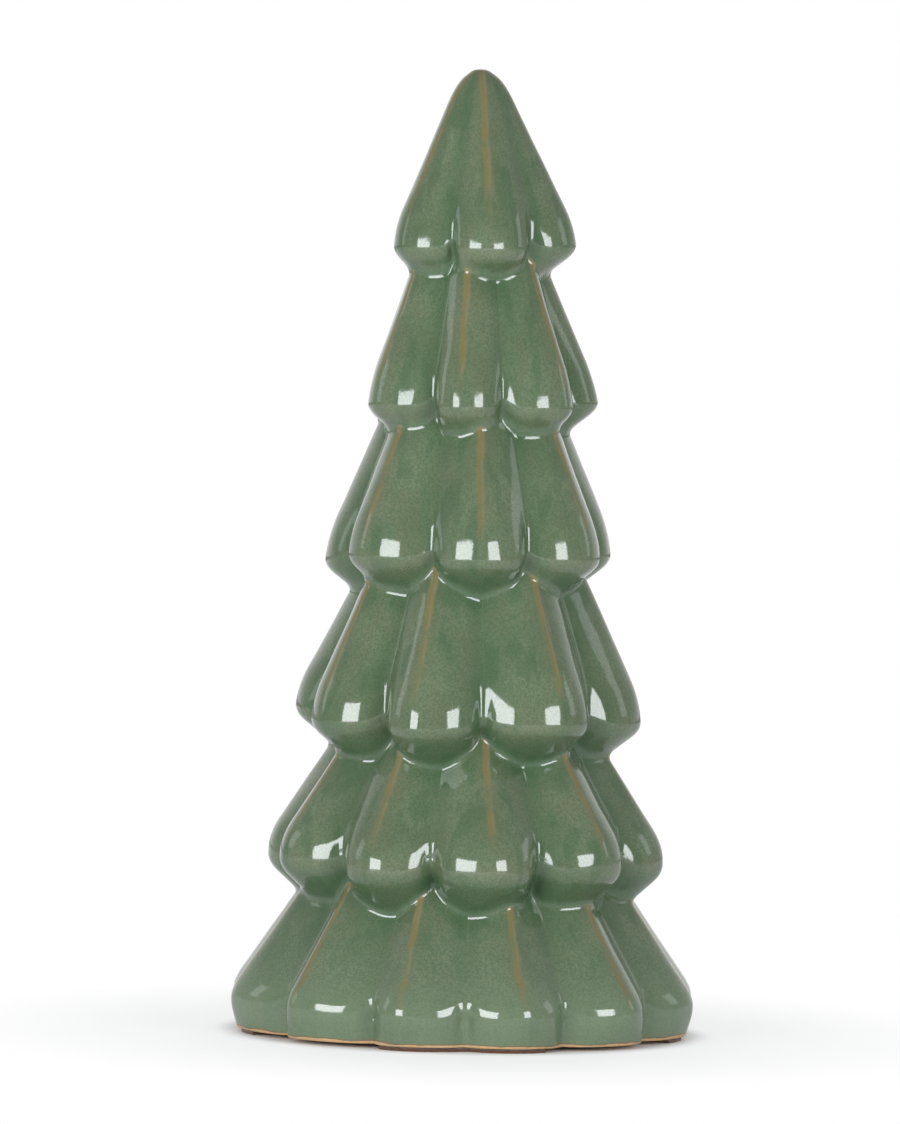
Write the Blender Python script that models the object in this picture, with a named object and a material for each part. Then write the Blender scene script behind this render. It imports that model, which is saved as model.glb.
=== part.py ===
# A glazed ceramic Christmas tree. Six bough sections are stacked from the foot up. Each one is a
# hollow lobed shell whose scalloped lower edge rests on the shoulder of the section below, round
# that section's collar. Four felt strips lift the foot rim off the table.
# Metres, +Z up. The origin is on the table under the tree, and the tree's front faces -Y.
import math
import bmesh
import bpy

# Shell
WALL = 0.0048             # thickness of a section's wall, measured level
LIP_WIDTH = 0.0022        # width of the edge that rests on the shoulder below
JOINT_GAP = 0.0003        # clearance between a section and the collar and shoulder it sits on
COLLAR_RISE = 0.0035      # collar above the highest point of its shoulder
LEDGE_RISE = 0.0025       # height over which the bore opens from the socket to the wall
FOOT_WIDTH = 0.0070       # width of the flat rim the tree stands on
FOOT_RISE = 0.0080        # height over which the rim thins to the wall

# Boughs
HIP_RISE = 0.0025         # height above the hip where the flank starts to stand upright
HIP_ROUNDING = 0.0030     # how widely the flank turns upright there
RIM_DEPTH = 0.0084        # depth below the hip where a groove has its rim value
VALLEY_LIFT = 0.0030      # how much higher the hip lies in a valley than on a crest
FILLET = 0.0034           # how widely an underside runs into the section below
CREST_SOFTNESS = 0.11     # rounding of a crest, as a share of half a bough's turn
RIDGE = 0.42              # share of the fall that is flat, so that a ridge stays along the crest
VALLEY_SOFTNESS = 0.18    # rounding of a valley, as a share of half a bough's turn
CREST_SHAPE_NECK = 1.0    # power of the flank's fall from the crest: 1 is flat, 2 is round
CREST_SHAPE_HIP = 3.2

# Tip of the tree
TIP_RISE = 0.0445         # tip above the hip of the top section
TIP_ROUNDING = 0.0045     # radius of the rounded tip
TIP_SPREAD = 0.55         # slope at which the tip opens into the flanks
TIP_BLEND = 0.0015
TIP_WALL = 0.0150         # solid clay between the tip and the top of the bore

# Felt strips, cut to the scalloped rim
PAD_WIDTH = 0.0050
PAD_INSET = 0.0010        # from the rim's outer edge to the felt
PAD_THICKNESS = 0.0008
PAD_SPAN = 44             # turn that one strip covers, in degrees
PAD_STEPS = 11
PAD_AZIMUTHS = (0, 90, 180, 270)

# Mesh
COLUMNS = 72              # round the tree, the same in every section so that the seams match
FLANK_ROWS = 10
CROWN_ROWS = 12
BORE_ROWS = 3
ROW_CROWDING = 1.6        # rows lie closer together towards the hip
CREASE_STEPS = 40         # halvings of the range in which a crease is looked for
SHARP_ANGLE = math.radians(40)

FOOT_HEIGHT = PAD_THICKNESS + JOINT_GAP

# Sizes of the sections, from the foot up. A rise is from the hip below (the table for the skirt)
# to this section's hip, and a neck's drop is from the hip above down to where the section shows.
# An underside's drop is the depth below the hip where it starts to tuck in, and its rounding is how
# widely the hip rounds into it. The radii are taken along a bough's crest, at the hip and the neck.
SKIRT_RISE = 0.0080
SKIRT_RADIUS = 0.0622
SKIRT_NECK_RADIUS = 0.0445
SKIRT_NECK_DROP = 0.0125
SKIRT_UNDER_DROP = 0.0034
SKIRT_UNDER_ROUNDING = 0.0060

TIER_5_RISE = 0.0405
TIER_5_RADIUS = 0.0520
TIER_5_NECK_RADIUS = 0.0362
TIER_5_NECK_DROP = 0.0110
TIER_5_UNDER_DROP = 0.0048
TIER_5_UNDER_ROUNDING = 0.0026

TIER_4_RISE = 0.0365
TIER_4_RADIUS = 0.0452
TIER_4_NECK_RADIUS = 0.0314
TIER_4_NECK_DROP = 0.0110
TIER_4_UNDER_DROP = 0.0044
TIER_4_UNDER_ROUNDING = 0.0026

TIER_3_RISE = 0.0420
TIER_3_RADIUS = 0.0376
TIER_3_NECK_RADIUS = 0.0255
TIER_3_NECK_DROP = 0.0075
TIER_3_UNDER_DROP = 0.0044
TIER_3_UNDER_ROUNDING = 0.0026

TIER_2_RISE = 0.0375
TIER_2_RADIUS = 0.0302
TIER_2_NECK_RADIUS = 0.0187
TIER_2_NECK_DROP = 0.0075
TIER_2_UNDER_DROP = 0.0028
TIER_2_UNDER_ROUNDING = 0.0026

CROWN_RISE = 0.0410
CROWN_RADIUS = 0.0240
CROWN_NECK_RADIUS = 0.0050
CROWN_UNDER_DROP = 0.0034
CROWN_UNDER_ROUNDING = 0.0030

# How much lower (or higher, below zero) the hip of a bough hangs than its section's in the photo
FRONT_DROOP = 0.0015
SIDE_DROOP = 0.0010
BACK_DROOP = 0.0025
LIFTED_DROOP = -0.0010

# A tuck is the slope of the underside. A groove is the valleys' depth as a share of the radius, at
# the neck, at the hip and at the rim. A bough is (crest, valley, reach, droop): the direction of its
# crest and of the valley after it in degrees, 0 to the front and 90 to the right, then how far it
# stands out as a share of the radius, and how much lower its hip hangs in metres.
SECTIONS = [
    {
        "name": "tier_6_skirt",
        "rise": SKIRT_RISE,
        "hip_radius": SKIRT_RADIUS,
        "neck_radius": SKIRT_NECK_RADIUS,
        "neck_drop": SKIRT_NECK_DROP,
        "under_drop": SKIRT_UNDER_DROP,
        "under_rounding": SKIRT_UNDER_ROUNDING,
        "tuck": 0.60,
        "neck_groove": 0.10,
        "hip_groove": 0.11,
        "rim_groove": 0.06,
        "boughs": [
            (-45, -24, 1, 0), (-15, 1, 1, 0), (15, 28, 1, 0), (45, 57, 1, 0), (75, 89, 1, 0),
            (105, 120, 1, 0), (135, 150, 1, 0), (165, 180, 1, 0), (195, 210, 1, 0), (225, 240, 1, 0),
            (255, 271, 1, 0), (285, 307, 1, 0),
        ],
    },
    {
        "name": "tier_5_boughs",
        "rise": TIER_5_RISE,
        "hip_radius": TIER_5_RADIUS,
        "neck_radius": TIER_5_NECK_RADIUS,
        "neck_drop": TIER_5_NECK_DROP,
        "under_drop": TIER_5_UNDER_DROP,
        "under_rounding": TIER_5_UNDER_ROUNDING,
        "tuck": 1.10,
        "neck_groove": 0.12,
        "hip_groove": 0.16,
        "rim_groove": 0.14,
        "boughs": [
            (-28, -11, 1, FRONT_DROOP), (8, 25, 1, FRONT_DROOP), (44, 63, 1, 0),
            (80, 98, 1, SIDE_DROOP), (116, 134, 1, 0), (152, 170, 1, 0), (188, 206, 1, 0),
            (224, 242, 1, 0), (260, 278, 1, SIDE_DROOP), (296, 316, 1, 0),
        ],
    },
    {
        "name": "tier_4_boughs",
        "rise": TIER_4_RISE,
        "hip_radius": TIER_4_RADIUS,
        "neck_radius": TIER_4_NECK_RADIUS,
        "neck_drop": TIER_4_NECK_DROP,
        "under_drop": TIER_4_UNDER_DROP,
        "under_rounding": TIER_4_UNDER_ROUNDING,
        "tuck": 1.30,
        "neck_groove": 0.14,
        "hip_groove": 0.21,
        "rim_groove": 0.20,
        "boughs": [
            (-18, 6, 1, FRONT_DROOP), (33, 57, 1, 0), (83, 110, 1, SIDE_DROOP), (136, 163, 1, 0),
            (190, 219, 1, 0), (253, 277, 1.03, LIFTED_DROOP), (302, 325, 1, SIDE_DROOP),
        ],
    },
    {
        "name": "tier_3_boughs",
        "rise": TIER_3_RISE,
        "hip_radius": TIER_3_RADIUS,
        "neck_radius": TIER_3_NECK_RADIUS,
        "neck_drop": TIER_3_NECK_DROP,
        "under_drop": TIER_3_UNDER_DROP,
        "under_rounding": TIER_3_UNDER_ROUNDING,
        "tuck": 1.30,
        "neck_groove": 0.13,
        "hip_groove": 0.19,
        "rim_groove": 0.18,
        "boughs": [
            (4, 28, 1, 0), (55, 82, 1, 0), (107, 133, 1, 0), (160, 186, 1, 0), (211, 236, 1, 0),
            (259, 285, 1.02, BACK_DROOP), (312, 341, 1, 0),
        ],
    },
    {
        "name": "tier_2_boughs",
        "rise": TIER_2_RISE,
        "hip_radius": TIER_2_RADIUS,
        "neck_radius": TIER_2_NECK_RADIUS,
        "neck_drop": TIER_2_NECK_DROP,
        "under_drop": TIER_2_UNDER_DROP,
        "under_rounding": TIER_2_UNDER_ROUNDING,
        "tuck": 1.20,
        "neck_groove": 0.14,
        "hip_groove": 0.21,
        "rim_groove": 0.20,
        "boughs": [
            (-7, 18, 1, 0), (52, 74, 1.02, 0), (96, 121, 1.08, LIFTED_DROOP), (146, 170, 1, 0),
            (194, 218, 1, 0), (240, 271, 1, 0), (301, 335, 1, 0),
        ],
    },
    {
        "name": "tier_1_crown",
        "rise": CROWN_RISE,
        "hip_radius": CROWN_RADIUS,
        "neck_radius": CROWN_NECK_RADIUS,
        "neck_drop": 0.0,
        "under_drop": CROWN_UNDER_DROP,
        "under_rounding": CROWN_UNDER_ROUNDING,
        "tuck": 1.25,
        "neck_groove": 0.08,
        "hip_groove": 0.24,
        "rim_groove": 0.22,
        "boughs": [
            (8, 47, 1, 0), (83, 119, 1.08, LIFTED_DROOP), (154, 191, 1, 0), (229, 267, 1, 0),
            (305, 340, 1, 0),
        ],
    },
]


def smooth_min(a, b, width):
    overlap = max(width - abs(a - b), 0.0) / width
    return min(a, b) - overlap * overlap * width / 4


def smooth_max(a, b, width):
    return -smooth_min(-a, -b, width)


def place_sections():
    """Work out each section's heights, and put the sections in order from the tip down."""
    height = 0.0
    for section in SECTIONS:
        height += section["rise"]
        section["hip"] = height
    for section, above in zip(SECTIONS, SECTIONS[1:]):
        section["neck"] = above["hip"] - section["neck_drop"]
    crown = SECTIONS[-1]
    crown["neck"] = crown["hip"] + TIP_RISE
    return SECTIONS[::-1]


def crest_radius(section, height):
    """Radius of a bough along its crest: a straight flank, a rounded hip and a tucked underside."""
    widest = section["hip_radius"]
    flare = (widest - section["neck_radius"]) / (section["neck"] - section["hip"] - HIP_RISE)
    rise = height - section["hip"]
    flank = widest - (rise - HIP_RISE) * flare
    upright = smooth_min(flank, widest, HIP_ROUNDING)
    underside = widest + (rise + section["under_drop"]) * section["tuck"]
    radius = smooth_min(upright, underside, section["under_rounding"])
    if section is SECTIONS[-1]:
        below_tip = max(section["neck"] - height, 0.0)
        tip = math.sqrt(2 * TIP_ROUNDING * below_tip + (TIP_SPREAD * below_tip) ** 2)
        radius = smooth_min(radius, tip, TIP_BLEND)
    return max(radius, 0.0)


def nearest_bough(section, azimuth):
    """The turn from the nearest crest, 0 on it and 1 in the valley, and that bough's reach and droop."""
    nearest = 2.0
    for index, (crest, valley, reach, droop) in enumerate(section["boughs"]):
        angle = (azimuth - crest + 180) % 360 - 180
        valley_before = section["boughs"][index - 1][1]
        half_bough = (valley - crest) % 360 if angle > 0 else (crest - valley_before) % 360
        if abs(angle) / half_bough < nearest:
            nearest = abs(angle) / half_bough
            found = (reach, droop)
    return (smooth_min(nearest, 2 - nearest, VALLEY_SOFTNESS), *found)


def section_radius(section, azimuth, height):
    """Radius of one section's boughs, as if the other sections weren't there."""
    turn, reach, droop = nearest_bough(section, azimuth)
    down = (section["neck"] - height) / (section["neck"] - section["hip"])
    down = min(max(down, 0.0), 1.0)
    power = CREST_SHAPE_NECK + (CREST_SHAPE_HIP - CREST_SHAPE_NECK) * down * down
    soft = math.sqrt(turn ** 2 + CREST_SOFTNESS ** 2)
    end = math.sqrt(1 + CREST_SOFTNESS ** 2)
    flat = (soft - CREST_SOFTNESS) / (end - CREST_SOFTNESS)
    curved = (soft ** power - CREST_SOFTNESS ** power) / (end ** power - CREST_SOFTNESS ** power)
    fall = flat * RIDGE + curved * (1 - RIDGE)
    under = min(max((section["hip"] - height) / RIM_DEPTH, 0.0), 1.0)
    groove = section["neck_groove"] + (section["hip_groove"] - section["neck_groove"]) * down
    groove += (section["rim_groove"] - section["hip_groove"]) * under
    near = 1 - fall
    level = height - down * fall ** 3 * VALLEY_LIFT + down * near * droop
    return crest_radius(section, level) * (1 - groove * fall) * (1 + near * down * (reach - 1))


def glazed_radius(sections, index, azimuth, height):
    """Outside of a section, filleted into its neighbours."""
    radius = section_radius(sections[index], azimuth, height)
    for other in (index - 1, index + 1):
        if 0 <= other < len(sections):
            radius = smooth_max(radius, section_radius(sections[other], azimuth, height), FILLET)
    return radius


def crease_height(upper, lower, azimuth):
    """Height at which the upper section's underside meets the lower section's flank."""
    low = lower["hip"]
    high = upper["hip"] + VALLEY_LIFT
    for _ in range(CREASE_STEPS):
        middle = (low + high) / 2
        if section_radius(upper, azimuth, middle) > section_radius(lower, azimuth, middle):
            high = middle
        else:
            low = middle
    return (low + high) / 2


def column_azimuths():
    return [360 * column / COLUMNS for column in range(COLUMNS)]


def make_seams(sections):
    """Where each section sits on the one below: the crease, its radius and the collar's top."""
    seams = []
    for index in range(len(sections) - 1):
        heights = []
        radii = []
        for azimuth in column_azimuths():
            height = crease_height(sections[index], sections[index + 1], azimuth)
            heights.append(height)
            radii.append(glazed_radius(sections, index, azimuth, height))
        seams.append({"heights": heights, "radii": radii, "collar": max(heights) + COLLAR_RISE})
    return seams


def point(azimuth, radius, height):
    angle = math.radians(azimuth)
    return (radius * math.sin(angle), -radius * math.cos(angle), height)


def flank_shares():
    """Shares of the way down a flank, crowded towards the hip."""
    return [1 - (1 - row / FLANK_ROWS) ** ROW_CROWDING for row in range(FLANK_ROWS + 1)]


def crown_shares():
    """Shares of the way down the crown below its pole, crowded towards the tip and the hip."""
    return [(1 - math.cos(math.pi * row / CROWN_ROWS)) / 2 for row in range(1, CROWN_ROWS + 1)]


def section_column(sections, seams, index, column):
    """One column of a section's skin: down the outside, round the lower edge and up the bore."""
    azimuth = column_azimuths()[column]
    above = seams[index - 1] if index > 0 else None
    below = seams[index] if index < len(seams) else None
    points = []

    if above:
        top = above["heights"][column]
        shoulder = above["radii"][column] - LIP_WIDTH
        points.append((shoulder, above["collar"]))
        points.append((shoulder, top))
    else:
        top = sections[0]["neck"]
    bottom = below["heights"][column] + JOINT_GAP if below else FOOT_HEIGHT

    for share in flank_shares() if above else crown_shares():
        height = top + (bottom - top) * share
        points.append((glazed_radius(sections, index, azimuth, height), height))

    if below:
        socket = below["radii"][column] - LIP_WIDTH + JOINT_GAP
        bore_start = below["collar"] + JOINT_GAP
        points.append((socket, bottom))
        points.append((socket, bore_start))
        wall_start = bore_start + LEDGE_RISE
    else:
        foot = glazed_radius(sections, index, azimuth, bottom)
        points.append((foot - FOOT_WIDTH, bottom))
        wall_start = bottom + FOOT_RISE

    bore_end = above["collar"] if above else top - TIP_WALL
    for row in range(BORE_ROWS + 1):
        height = wall_start + (bore_end - wall_start) * row / BORE_ROWS
        if above and height > top:
            radius = above["radii"][column] - WALL
        else:
            radius = glazed_radius(sections, index, azimuth, height) - WALL
        if above or row < BORE_ROWS:
            points.append((radius, height))
    return [point(azimuth, radius, height) for radius, height in points]


def new_material(name, colour, roughness):
    material = bpy.data.materials.new(name)
    material.use_nodes = True
    shader = material.node_tree.nodes["Principled BSDF"]
    shader.inputs["Base Color"].default_value = (*colour, 1.0)
    shader.inputs["Roughness"].default_value = roughness
    shader.inputs["Metallic"].default_value = 0.0
    material.diffuse_color = (*colour, 1.0)
    return material


def add_object(name, bm, material):
    bmesh.ops.recalc_face_normals(bm, faces=bm.faces)
    mesh = bpy.data.meshes.new(name)
    bm.to_mesh(mesh)
    bm.free()
    mesh.materials.append(material)
    mesh.shade_smooth()
    mesh.set_sharp_from_angle(angle=SHARP_ANGLE)
    thing = bpy.data.objects.new(name, mesh)
    bpy.context.collection.objects.link(thing)
    return thing


def skin_columns(columns, closed):
    """Join neighbouring columns of points with faces. A closed column's ends are joined too."""
    bm = bmesh.new()
    grid = [[bm.verts.new(place) for place in column] for column in columns]
    rows = len(columns[0])
    for left, right in zip(grid, grid[1:] + grid[:1]):
        for row in range(rows if closed else rows - 1):
            lower = (row + 1) % rows
            bm.faces.new((left[row], right[row], right[lower], left[lower]))
    return bm, grid


def add_pole(bm, ring, height):
    """Close an open end with a fan of faces round a point on the axis."""
    pole = bm.verts.new((0.0, 0.0, height))
    for left, right in zip(ring, ring[1:] + ring[:1]):
        bm.faces.new((pole, left, right))


def make_section(sections, seams, index, material):
    columns = [section_column(sections, seams, index, column) for column in range(COLUMNS)]
    is_crown = index == 0
    bm, grid = skin_columns(columns, not is_crown)
    if is_crown:
        tip = sections[0]["neck"]
        add_pole(bm, [column[0] for column in grid], tip)
        add_pole(bm, [column[-1] for column in grid], tip - TIP_WALL)
    return add_object(sections[index]["name"], bm, material)


def make_pad(name, skirt_index, sections, middle, material):
    """A flat felt strip under the rim, as long as its span and following the rim's scallops."""
    bm = bmesh.new()
    slices = []
    for step in range(PAD_STEPS + 1):
        azimuth = middle + PAD_SPAN * (step / PAD_STEPS - 0.5)
        outer = glazed_radius(sections, skirt_index, azimuth, FOOT_HEIGHT) - PAD_INSET
        inner = outer - PAD_WIDTH
        corners = ((outer, 0.0), (outer, PAD_THICKNESS), (inner, PAD_THICKNESS), (inner, 0.0))
        slices.append([bm.verts.new(point(azimuth, radius, height)) for radius, height in corners])
    for left, right in zip(slices, slices[1:]):
        for corner in range(4):
            after = (corner + 1) % 4
            bm.faces.new((left[corner], right[corner], right[after], left[after]))
    bm.faces.new(slices[0])
    bm.faces.new(slices[-1][::-1])
    return add_object(name, bm, material)


def main():
    for thing in list(bpy.data.objects):
        bpy.data.objects.remove(thing)
    glaze = new_material("green_glaze", (0.130, 0.200, 0.120), 0.12)
    felt = new_material("brown_felt", (0.070, 0.035, 0.020), 0.90)
    sections = place_sections()
    seams = make_seams(sections)
    for index in range(len(sections)):
        make_section(sections, seams, index, glaze)
    for number, azimuth in enumerate(PAD_AZIMUTHS, start=1):
        make_pad(f"felt_pad_{number}", len(sections) - 1, sections, azimuth, felt)
    bpy.context.view_layer.update()


main()
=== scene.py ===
# %% [markdown]
# # A glazed ceramic Christmas tree
#
# The real tree is slip-cast clay: six hollow sections of rounded boughs, stacked and joined, then
# dipped in a glossy green glaze that breaks to ochre where it runs thin over the crests. The packed
# model gives the sections in their right places. This script makes a finer skin for each section,
# with the same rule that shaped the model, and gives it the glaze.

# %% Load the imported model
import math

import bpy
import numpy as np
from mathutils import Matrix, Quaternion, Vector


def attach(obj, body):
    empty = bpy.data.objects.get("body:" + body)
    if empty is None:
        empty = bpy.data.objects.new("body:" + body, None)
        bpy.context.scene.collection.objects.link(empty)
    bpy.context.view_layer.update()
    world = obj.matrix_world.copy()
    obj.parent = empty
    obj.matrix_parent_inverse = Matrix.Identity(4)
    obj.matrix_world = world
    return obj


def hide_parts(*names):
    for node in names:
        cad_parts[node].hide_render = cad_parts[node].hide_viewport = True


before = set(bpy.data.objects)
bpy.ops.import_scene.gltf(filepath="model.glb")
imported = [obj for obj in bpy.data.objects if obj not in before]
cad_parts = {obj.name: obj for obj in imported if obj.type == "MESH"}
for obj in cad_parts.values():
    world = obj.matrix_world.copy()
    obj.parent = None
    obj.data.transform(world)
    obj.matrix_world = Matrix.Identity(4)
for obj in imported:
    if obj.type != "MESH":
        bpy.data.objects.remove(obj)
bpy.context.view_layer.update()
print("nodes:", sorted(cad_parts))

# %% [markdown]
# ## Camera
#
# The photo was taken from far away with a long lens, at about the height of the tree's tip. From
# there the foot's rim looks almost straight and the boughs hardly shrink towards the back. A camera
# close by would bend both. The photo is turned by about one degree, so the camera rolls by that much.

# %% Place the camera
CAMERA_PLACE = Vector((0.0, -2.34, 0.227))
CAMERA_TARGET = Vector((-0.0054, 0.0, 0.1221))
CAMERA_ROLL = math.radians(1.15)
LENS_MM = 289.0
CLIP_START = 0.05
CLIP_END = 50.0


def add_object(name, data):
    item = bpy.data.objects.new(name, data)
    bpy.context.scene.collection.objects.link(item)
    return item


camera_data = bpy.data.cameras.new("long_lens")
camera_data.lens = LENS_MM
camera_data.clip_start = CLIP_START
camera_data.clip_end = CLIP_END
camera = add_object("camera", camera_data)
camera.location = CAMERA_PLACE
camera.rotation_mode = "QUATERNION"
sight = CAMERA_TARGET - CAMERA_PLACE
camera.rotation_quaternion = sight.to_track_quat("-Z", "Y") @ Quaternion((0.0, 0.0, 1.0), CAMERA_ROLL)
bpy.context.scene.camera = camera
bpy.context.scene.view_settings.view_transform = "Standard"
print("camera looks down by", round(math.degrees(math.asin(-sight.z / sight.length)), 2), "degrees")

# %% [markdown]
# ## Node helpers
#
# Both the shape and the glaze are made of nodes. Placing each Math node by hand makes long scripts
# that nobody can read. A small class that stands for one wire lets ordinary sums build the nodes,
# and the same sums work on numpy numbers too, so each rule is written only once.

# %% A wire in a node tree
NUMPY_STEPS = {"ADD": np.add, "SUBTRACT": np.subtract, "MULTIPLY": np.multiply, "DIVIDE": np.divide,
               "POWER": np.power, "MINIMUM": np.minimum, "MAXIMUM": np.maximum}


def combine(step, first, second):
    """One sum: a Math node if either value is a wire, and plain numbers if neither is."""
    wires = [value for value in (first, second) if isinstance(value, Wire)]
    if not wires:
        return NUMPY_STEPS[step](first, second)
    node = add_node(wires[0].tree, "ShaderNodeMath", operation=step)
    return wires[0].leave(node, (first, second))


def add_node(tree, kind, **settings):
    node = tree.nodes.new(kind)
    for name, value in settings.items():
        setattr(node, name, value)
    return node


class Wire:
    """The output of a node. Sums written with wires add Math nodes to the tree."""

    def __init__(self, tree, socket):
        self.tree = tree
        self.socket = socket

    def leave(self, node, values, output=0):
        """Feed the values to a node's first inputs, and give the wire that leaves it."""
        for socket, value in zip(node.inputs, values):
            plug(self.tree, value, socket)
        return Wire(self.tree, node.outputs[output])

    def __add__(self, other):
        return combine("ADD", self, other)

    def __radd__(self, other):
        return combine("ADD", other, self)

    def __sub__(self, other):
        return combine("SUBTRACT", self, other)

    def __rsub__(self, other):
        return combine("SUBTRACT", other, self)

    def __mul__(self, other):
        return combine("MULTIPLY", self, other)

    def __rmul__(self, other):
        return combine("MULTIPLY", other, self)

    def __truediv__(self, other):
        return combine("DIVIDE", self, other)

    def __neg__(self):
        return combine("MULTIPLY", self, -1.0)


def plug(tree, value, socket):
    if isinstance(value, Wire):
        tree.links.new(value.socket, socket)
    else:
        socket.default_value = value


def lowest(a, b):
    return combine("MINIMUM", a, b)


def highest(a, b):
    return combine("MAXIMUM", a, b)


def power(base, exponent):
    return combine("POWER", base, exponent)


def smooth_min(a, b, width):
    """The lower of two values, with the corner between them rounded."""
    overlap = highest(width - highest(a - b, b - a), 0.0) / width
    return lowest(a, b) - overlap * overlap * width / 4


def smooth_max(a, b, width):
    return -smooth_min(-a, -b, width)


print("sums that wires and numbers share:", ", ".join(NUMPY_STEPS).lower())

# %% [markdown]
# ## The rule of a bough
#
# A section is a ring of boughs. Along its crest a bough has a straight flank, a rounded hip and an
# underside that tucks back in. Away from the crest it falls into a valley. The fall is flat near the
# neck and rounder at the hip, and a share of it stays flat all the way, which leaves a soft ridge
# along the crest. A sculpted mesh could look the same, but the rule gives every section from a few
# sizes, and neighbouring sections fit because both can be asked for their radius at any height.

# %% Sizes of the sections, in metres
HIP_RISE = 0.0025         # height above the hip where the flank starts to stand upright
HIP_ROUNDING = 0.0030     # how widely the flank turns upright there
VALLEY_LIFT = 0.0030      # how much higher the hip lies in a valley than on a crest
FILLET = 0.0034           # how widely an underside runs into the section below
CREST_SOFTNESS = 0.11     # rounding of a crest, as a share of half a bough's turn
RIDGE = 0.42              # share of the fall that is flat, so that a ridge stays along the crest
VALLEY_SOFTNESS = 0.18    # rounding of a valley, as a share of half a bough's turn
CREST_SHAPE_NECK = 1.0    # power of the fall from the crest: 1 is flat, 2 is round
CREST_SHAPE_HIP = 3.2
TIP_RISE = 0.0445         # tip above the hip of the top section
TIP_ROUNDING = 0.0045     # radius of the rounded tip
TIP_SPREAD = 0.55         # slope at which the tip opens into the flanks
TIP_BLEND = 0.0015
FAR_ABOVE = 1.0           # a tip level that never limits a section other than the crown

SIZES = ("rise", "hip_radius", "neck_radius", "neck_drop", "under_drop", "under_rounding", "tuck",
         "neck_groove", "hip_groove", "rim_groove")
RIM_DEPTH = 0.0084        # depth below the hip where a groove has its rim value
# node, piece and sizes, then each bough in order, from the front round by the right: the direction
# of its crest and of the valley after it in degrees, its reach (a share) and its droop (metres)
TABLE = [
    ("tier_6_skirt", "glazed_skirt",
     (.0080, .0622, .0445, .0125, .0034, .0060, .60, .10, .11, .06),
     [(-45, -24, 1, 0), (-15, 1, 1, 0), (15, 28, 1, 0), (45, 57, 1, 0), (75, 89, 1, 0),
      (105, 120, 1, 0), (135, 150, 1, 0), (165, 180, 1, 0), (195, 210, 1, 0), (225, 240, 1, 0),
      (255, 271, 1, 0), (285, 307, 1, 0)]),
    ("tier_5_boughs", "glazed_boughs_5",
     (.0405, .0520, .0362, .0110, .0048, .0026, 1.1, .12, .16, .14),
     [(-28, -11, 1, .0015), (8, 25, 1, .0015), (44, 63, 1, 0), (80, 98, 1, .001), (116, 134, 1, 0),
      (152, 170, 1, 0), (188, 206, 1, 0), (224, 242, 1, 0), (260, 278, 1, .001), (296, 316, 1, 0)]),
    ("tier_4_boughs", "glazed_boughs_4",
     (.0365, .0452, .0314, .0110, .0044, .0026, 1.3, .14, .21, .20),
     [(-18, 6, 1, .0015), (33, 57, 1, 0), (83, 110, 1, .001), (136, 163, 1, 0), (190, 219, 1, 0),
      (253, 277, 1.03, -.001), (302, 325, 1, .001)]),
    ("tier_3_boughs", "glazed_boughs_3",
     (.0420, .0376, .0255, .0075, .0044, .0026, 1.3, .13, .19, .18),
     [(4, 28, 1, 0), (55, 82, 1, 0), (107, 133, 1, 0), (160, 186, 1, 0), (211, 236, 1, 0),
      (259, 285, 1.02, .0025), (312, 341, 1, 0)]),
    ("tier_2_boughs", "glazed_boughs_2",
     (.0375, .0302, .0187, .0075, .0028, .0026, 1.2, .14, .21, .20),
     [(-7, 18, 1, 0), (52, 74, 1.02, 0), (96, 121, 1.08, -.001), (146, 170, 1, 0), (194, 218, 1, 0),
      (240, 271, 1, 0), (301, 335, 1, 0)]),
    ("tier_1_crown", "glazed_crown",
     (.0410, .0240, .0050, .0, .0034, .0030, 1.25, .08, .24, .22),
     [(8, 47, 1, 0), (83, 119, 1.08, -.001), (154, 191, 1, 0), (229, 267, 1, 0), (305, 340, 1, 0)]),
]


def place_sections():
    """Heights of every section, in order from the tip down."""
    sections = []
    height = 0.0
    for node, piece, sizes, boughs in TABLE:
        section = dict(zip(SIZES, sizes), node=node, piece=piece, boughs=boughs, tip=FAR_ABOVE)
        height += section["rise"]
        section["hip"] = height
        sections.append(section)
    for section, above in zip(sections, sections[1:]):
        section["neck"] = above["hip"] - section["neck_drop"]
    crown = sections[-1]
    crown["neck"] = crown["tip"] = crown["hip"] + TIP_RISE
    return sections[::-1]


sections = place_sections()
for section in sections:
    print(section["piece"], "hip", round(section["hip"], 4), "neck", round(section["neck"], 4))

# %% The rule itself
RULE_SIZES = ("hip", "neck", "hip_radius", "neck_radius", "under_drop", "under_rounding", "tuck",
              "neck_groove", "hip_groove", "rim_groove", "tip")
BOUGH_FIELDS = ("turn", "reach", "droop")
# stands in for a neighbour that isn't there: its radius is never the widest
EMPTY = {"hip": 0.0, "neck": 1.0, "hip_radius": -1.0, "neck_radius": -1.0, "under_drop": 0.0,
         "under_rounding": 1.0, "tuck": 0.0, "neck_groove": 0.0, "hip_groove": 0.0,
         "rim_groove": 0.0, "tip": FAR_ABOVE}


def crest_radius(section, height):
    widest = section["hip_radius"]
    tall = section["neck"] - section["hip"]
    flare = (widest - section["neck_radius"]) / (tall - HIP_RISE)
    rise = height - section["hip"]
    flank = widest - (rise - HIP_RISE) * flare
    upright = smooth_min(flank, widest, HIP_ROUNDING)
    underside = widest + (rise + section["under_drop"]) * section["tuck"]
    radius = smooth_min(upright, underside, section["under_rounding"])
    below_tip = highest(section["tip"] - height, 0.0)
    tip = power(below_tip * (2 * TIP_ROUNDING) + below_tip * below_tip * TIP_SPREAD ** 2, 0.5)
    return highest(smooth_min(radius, tip, TIP_BLEND), 0.0)


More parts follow.
